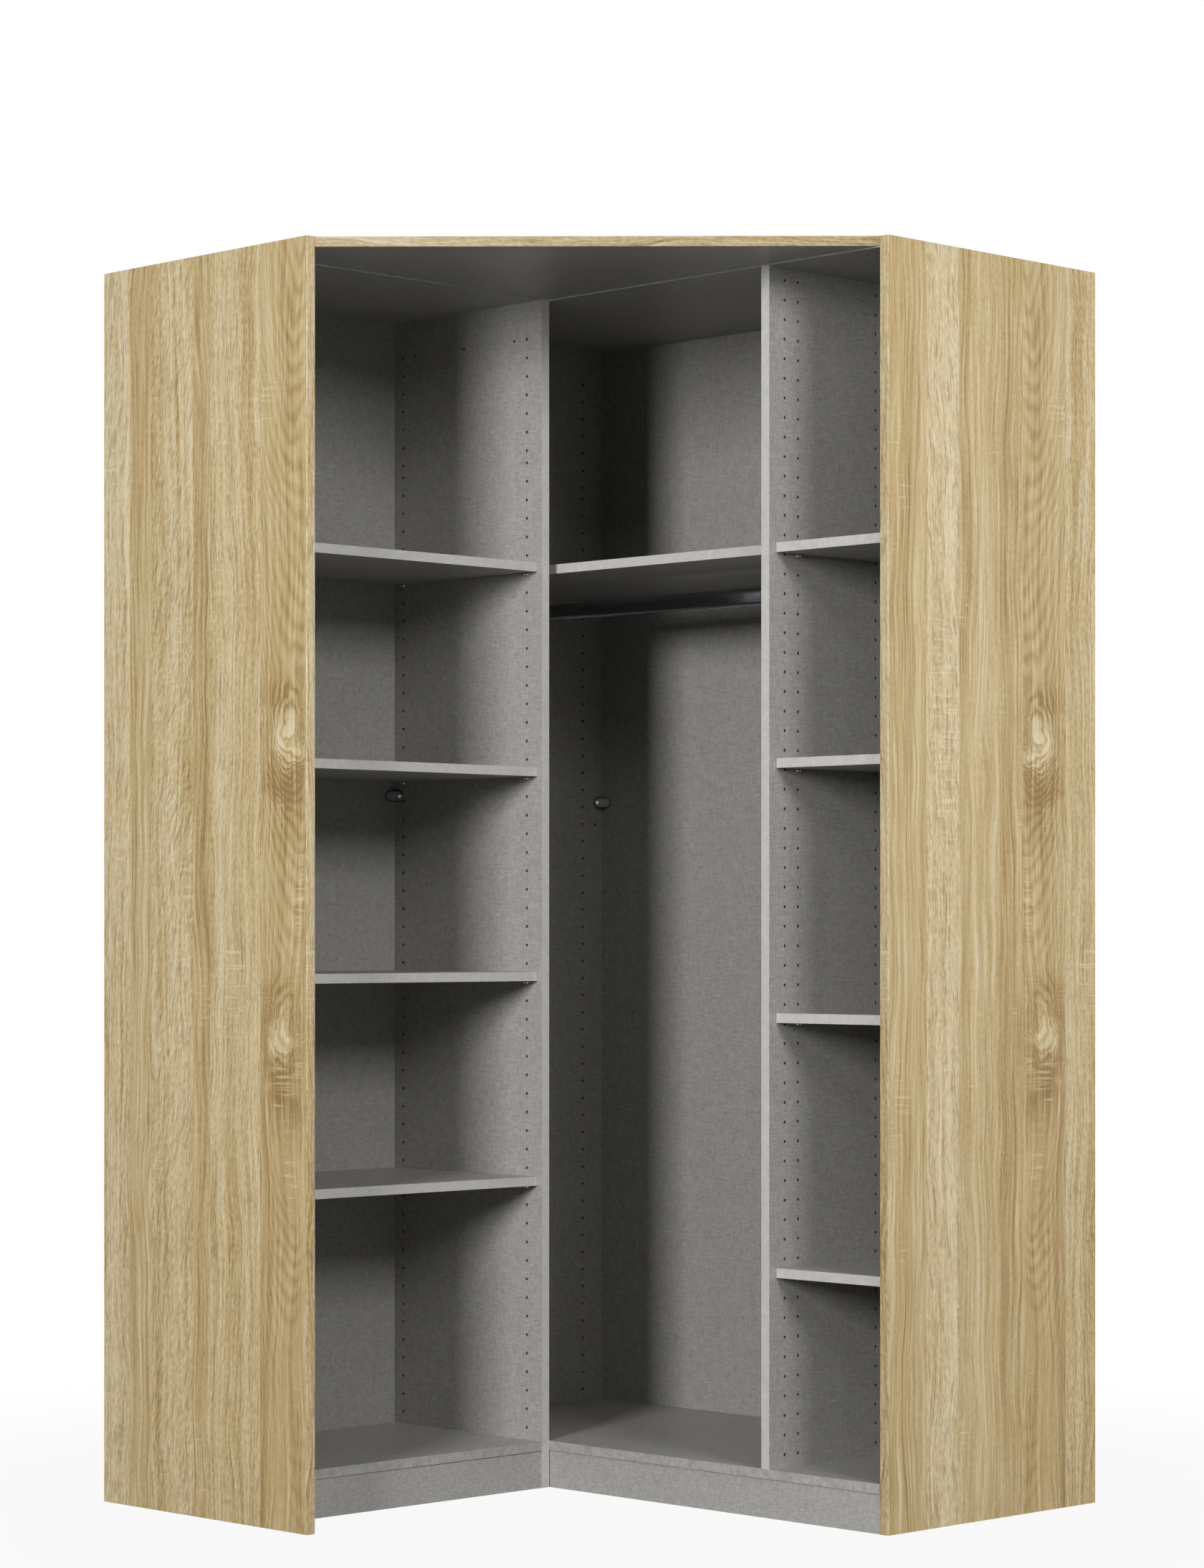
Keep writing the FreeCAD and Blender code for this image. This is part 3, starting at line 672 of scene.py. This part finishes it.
def piece(name, bm, materials, replaced, body="carcase"):
    """Puts a built mesh in the scene in place of a node of the frame."""
    bmesh.ops.recalc_face_normals(bm, faces=bm.faces)
    mesh = bpy.data.meshes.new(name)
    bm.to_mesh(mesh)
    bm.free()
    for material in materials:
        mesh.materials.append(material)
    mesh.polygons.foreach_set("use_smooth", [True] * len(mesh.polygons))
    mesh.set_sharp_from_angle(angle=SMOOTH_ANGLE)
    item = bpy.data.objects.new(name, mesh)
    bpy.context.scene.collection.objects.link(item)
    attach(item, body)
    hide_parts(replaced)


def add_pins(node, axis, material):
    """Shelf pins of one bay, each pointing from its upright to the middle of the bay."""
    boxes = islands(node)
    centres = [(low_corner + high_corner) / 2 for low_corner, high_corner in boxes]
    middle = sum(centre[axis] for centre in centres) / len(centres)
    bm = bmesh.new()
    for centre in centres:
        outward = Vector(AXES[axis]) * towards(centre[axis], middle)
        turned(bm, PIN_PROFILE, PIN_SIDES, stood(centre, outward))
    piece(node + "_turned", bm, [material], node)


def add_cams(material):
    """Cam housings with a cross recess, flush with the face that they are sunk in."""
    tops = [high(node).z for node in ("left_bottom_panel", "right_top_panel")]
    bm = bmesh.new()
    for low_corner, high_corner in islands("cam_housings"):
        centre = (low_corner + high_corner) / 2
        faces_up = any(abs(high_corner.z - top) < SKIN for top in tops)
        centre.z = high_corner.z if faces_up else low_corner.z
        place = stood(centre, Vector((0, 0, 1 if faces_up else -1)))
        rim = turned(bm, CAM_PROFILE, CAM_SIDES, place)
        crossed(bm, rim, CAM_PROFILE[0][1], CAM_CROSS, place)
    piece("cam_housings_cast", bm, [material], "cam_housings")


def block_outward(centre):
    """Way that a corner block faces, into the middle of its bay."""
    left_wing = centre.y < high("divider_panel").y
    if left_wing:
        bay_middle = (low("left_back_panel").y + high("left_back_panel").y) / 2
        return Vector((1, towards(centre.y, bay_middle), 0)).normalized()
    bay_middle = (low("right_back_panel").x + high("right_back_panel").x) / 2
    return Vector((towards(centre.x, bay_middle), -1, 0)).normalized()


def block_outline(half_width, half_height):
    """Points round a block's face, from the middle of its top edge by the right end and the left end."""
    straight = half_width - half_height
    points = [(0.0, half_height)]
    for side in (1, -1):
        for i in range(BLOCK_END_STEPS + 1):
            turn = math.pi * i / BLOCK_END_STEPS
            x = side * (straight + half_height * math.sin(turn))
            points.append((x, side * half_height * math.cos(turn)))
        points.append((0.0, -side * half_height))
    return points[:-1]


def add_block(bm, low_corner, high_corner):
    """One corner block: a wedge against the two boards, with a raised rim round its sunk face."""
    size = high_corner - low_corner
    outward = block_outward((low_corner + high_corner) / 2)
    across = Vector(UP).cross(outward)
    half_height = size.z / 2
    half_width = size.x * math.sqrt(0.5)
    corner_x = low_corner.x if outward.x > 0 else high_corner.x
    corner_y = low_corner.y if outward.y > 0 else high_corner.y
    face = Vector((corner_x, corner_y, low_corner.z + half_height)) + outward * half_width

    def corner(x, z, depth):
        return bm.verts.new(face + across * x + Vector((0, 0, z)) + outward * depth)

    wall = [corner(x, z, abs(x) - half_width) for x, z in block_outline(half_width, half_height)]
    loops = [wall]
    for inset, height in BLOCK_RIM:
        outline = block_outline(half_width - inset * MM, half_height - inset * MM)
        loops.append([corner(x, z, max(height * MM, abs(x) - half_width)) for x, z in outline])
    # the rows next to the wall take the second material, painted shade round the block
    for row, (before, after) in enumerate(zip(loops, loops[1:])):
        for side in bridge(bm, before, after):
            side.material_index = 1 if row < BLOCK_SHADE_ROWS else 0
    bottom = len(wall) // 2
    bm.faces.new(loops[-1])
    bm.faces.new(wall[:bottom + 1])
    bm.faces.new(wall[bottom:] + wall[:1])


def add_blocks(face_material, shade_material):
    """Moulded corner blocks, with their sides painted dark as shade."""
    bm = bmesh.new()
    for low_corner, high_corner in islands("back_panel_blocks"):
        add_block(bm, low_corner, high_corner)
    bmesh.ops.remove_doubles(bm, verts=bm.verts, dist=WELD)
    materials = [face_material, shade_material]
    piece("back_panel_blocks_moulded", bm, materials, "back_panel_blocks")


def add_screws(name, node, places, profile, material):
    """Screws with a cross recess, each at its place."""
    bm = bmesh.new()
    for place in places:
        rim = turned(bm, profile, SCREW_SIDES, place)
        crossed(bm, rim, profile[0][1], SCREW_CROSS, place)
    piece(name, bm, [material], node)


def block_screw_places():
    """Middle of each block's face under its screw, and the way out."""
    places = []
    for low_corner, high_corner in islands("back_block_screws"):
        centre = (low_corner + high_corner) / 2
        places.append(stood(centre, block_outward(centre)))
    return places


def cup_screw_places():
    """Front of each cup's plate at its screw, and the way out."""
    rail_middle = (low("clothes_rail").x + high("clothes_rail").x) / 2
    places = []
    for low_corner, high_corner in islands("rail_cup_screws"):
        centre = (low_corner + high_corner) / 2
        outward = towards(centre.x, rail_middle)
        centre.x = high_corner.x if outward > 0 else low_corner.x
        places.append(stood(centre, Vector((outward, 0, 0))))
    return places


def joining_screw_places():
    """Front of the divider at each joining screw, and the way out."""
    places = []
    for low_corner, high_corner in islands("wing_joining_screws"):
        centre = (low_corner + high_corner) / 2
        centre.y = low_corner.y
        places.append(stood(centre, Vector((0, -1, 0))))
    return places


def rail_outline(inset):
    """Points round the oval of the rail, drawn in by an inset, as pairs of Y and Z."""
    low_corner, high_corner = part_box("clothes_rail")
    centre = (low_corner + high_corner) / 2
    size = high_corner - low_corner
    radius = size.y / 2 - inset
    straight = size.z / 2 - size.y / 2
    points = []
    for side in (1, -1):
        for i in range(RAIL_END_STEPS + 1):
            turn = math.pi * i / RAIL_END_STEPS
            y = centre.y + side * radius * math.cos(turn)
            points.append((y, centre.z + side * (straight + radius * math.sin(turn))))
    return points


def add_rail(material):
    """Smooth oval tube with open ends: its outside from end to end, then its inside back again."""
    ends = [low("clothes_rail").x, high("clothes_rail").x]
    bm = bmesh.new()
    loops = []
    for inset, order in ((0, ends), (RAIL_WALL * MM, ends[::-1])):
        for x in order:
            loops.append([bm.verts.new((x, y, z)) for y, z in rail_outline(inset)])
    for before, after in zip(loops, loops[1:] + loops[:1]):
        bridge(bm, before, after)
    piece("clothes_rail_drawn", bm, [material], "clothes_rail", body="clothes_rail")


def add_fittings():
    """Detailed fittings in place of the frame's plain ones, and finishes for those that stay."""
    nickel = plain("bright_nickel")
    zinc = plain("bright_zinc")
    for node in ("rail_cup_left", "rail_cup_right", "cam_bolts"):
        paint(node, zinc)
    paint("wood_dowels", plain("beech"))
    add_pins("left_shelf_pins", 1, nickel)
    add_pins("right_shelf_pins", 0, nickel)
    add_pins("hat_shelf_pins", 0, nickel)
    add_cams(zinc)
    add_blocks(plain("grey_moulded_plastic"), plain("painted_shade_block_sides"))
    add_rail(plain("polished_chrome"))
    add_screws("block_screws_crossed", "back_block_screws", block_screw_places(), BLOCK_SCREW_PROFILE, zinc)
    add_screws("cup_screws_crossed", "rail_cup_screws", cup_screw_places(), CUP_SCREW_PROFILE, zinc)
    joining_places = joining_screw_places()
    add_screws("joining_screws_crossed", "wing_joining_screws", joining_places, JOINING_SCREW_PROFILE, zinc)


def floor_material():
    """Pale floor that keeps the shadow close to the object and runs out to white."""
    values = {"Base_Color": FLOOR_COLOUR, "Roughness": FLOOR_ROUGHNESS, "Specular_IOR_Level": FLOOR_SPECULAR}
    shader = Shader("pale_floor", **values)
    away = shader.length(shader.place())
    white = shader.range(away, FLOOR_SHADE_REACH, (1 - FLOOR_SHADE_SHARE, 1.0), smooth=True)
    glow = shader.add("ShaderNodeEmission", (("Color", WHITE), ("Strength", 1.0)))
    share = shader.product(white, shader.seen_share())
    inputs = ((0, share), (1, shader.surface.outputs[0]), (2, glow.outputs[0]))
    mixed = shader.add("ShaderNodeMixShader", inputs)
    shader.tree.links.new(mixed.outputs[0], shader.tree.nodes["Material Output"].inputs["Surface"])
    return shader.material


def add_floor():
    """Wide floor just below the object."""
    mesh = bpy.data.meshes.new("floor")
    bm = bmesh.new()
    bmesh.ops.create_grid(bm, x_segments=2, y_segments=2, size=FLOOR_HALF)
    bm.to_mesh(mesh)
    bm.free()
    mesh.materials.append(floor_material())
    floor = bpy.data.objects.new("floor", mesh)
    bpy.context.scene.collection.objects.link(floor)
    floor.location.z = -FLOOR_DROP


def add_world():
    """White backdrop for what is seen, and a dim even light for the object."""
    world = bpy.data.worlds.new("studio")
    bpy.context.scene.world = world
    world.use_nodes = True
    world.node_tree.nodes.clear()
    sky = Tree(world.node_tree)
    strength = sky.range(sky.seen_share(), (0.0, 1.0), (SKY_STRENGTH, 1.0))
    light = sky.add("ShaderNodeBackground", (("Color", WHITE), ("Strength", strength)))
    sky.add("ShaderNodeOutputWorld", (("Surface", light.outputs[0]),), is_active_output=True)


def add_lights():
    """The soft boxes, each turned to its aim."""
    for name, soft_box in SOFT_BOXES.items():
        lamp = bpy.data.lights.new(name, "AREA")
        lamp.shape = "RECTANGLE"
        lamp.size = soft_box.width
        lamp.size_y = soft_box.rise
        lamp.energy = soft_box.level * math.pi ** 2 * soft_box.distance ** 2
        box = bpy.data.objects.new(name, lamp)
        bpy.context.scene.collection.objects.link(box)
        aim = soft_box.aim
        turn = math.radians(soft_box.turn)
        x = math.sin(turn) * soft_box.distance
        y = -math.cos(turn) * soft_box.distance
        box.location = aim + Vector((x, y, soft_box.height - aim.z))
        box.rotation_euler = (aim - box.location).to_track_quat("-Z", "Y").to_euler()
        box.visible_camera = False
        box.visible_glossy = name != BOX_WITHOUT_GLARE


def add_camera():
    """Camera at the photograph's place, level, with the horizon shifted as there."""
    camera = bpy.data.cameras.new("camera")
    camera.lens = CAMERA_LENS_MM
    camera.shift_y = (HORIZON_PX - IMAGE_HEIGHT_PX / 2) / IMAGE_HEIGHT_PX
    camera_object = bpy.data.objects.new("camera", camera)
    bpy.context.scene.collection.objects.link(camera_object)
    camera_object.location = CAMERA_AT
    camera_object.rotation_euler = (math.pi / 2, 0, CAMERA_TURN)
    bpy.context.scene.camera = camera_object


paint_end_panels()
paint_edgings()
paint_backs()
paint_grey_boards()
add_fittings()
add_floor()
add_world()
add_lights()
add_camera()
bpy.context.scene.view_settings.view_transform = "Standard"
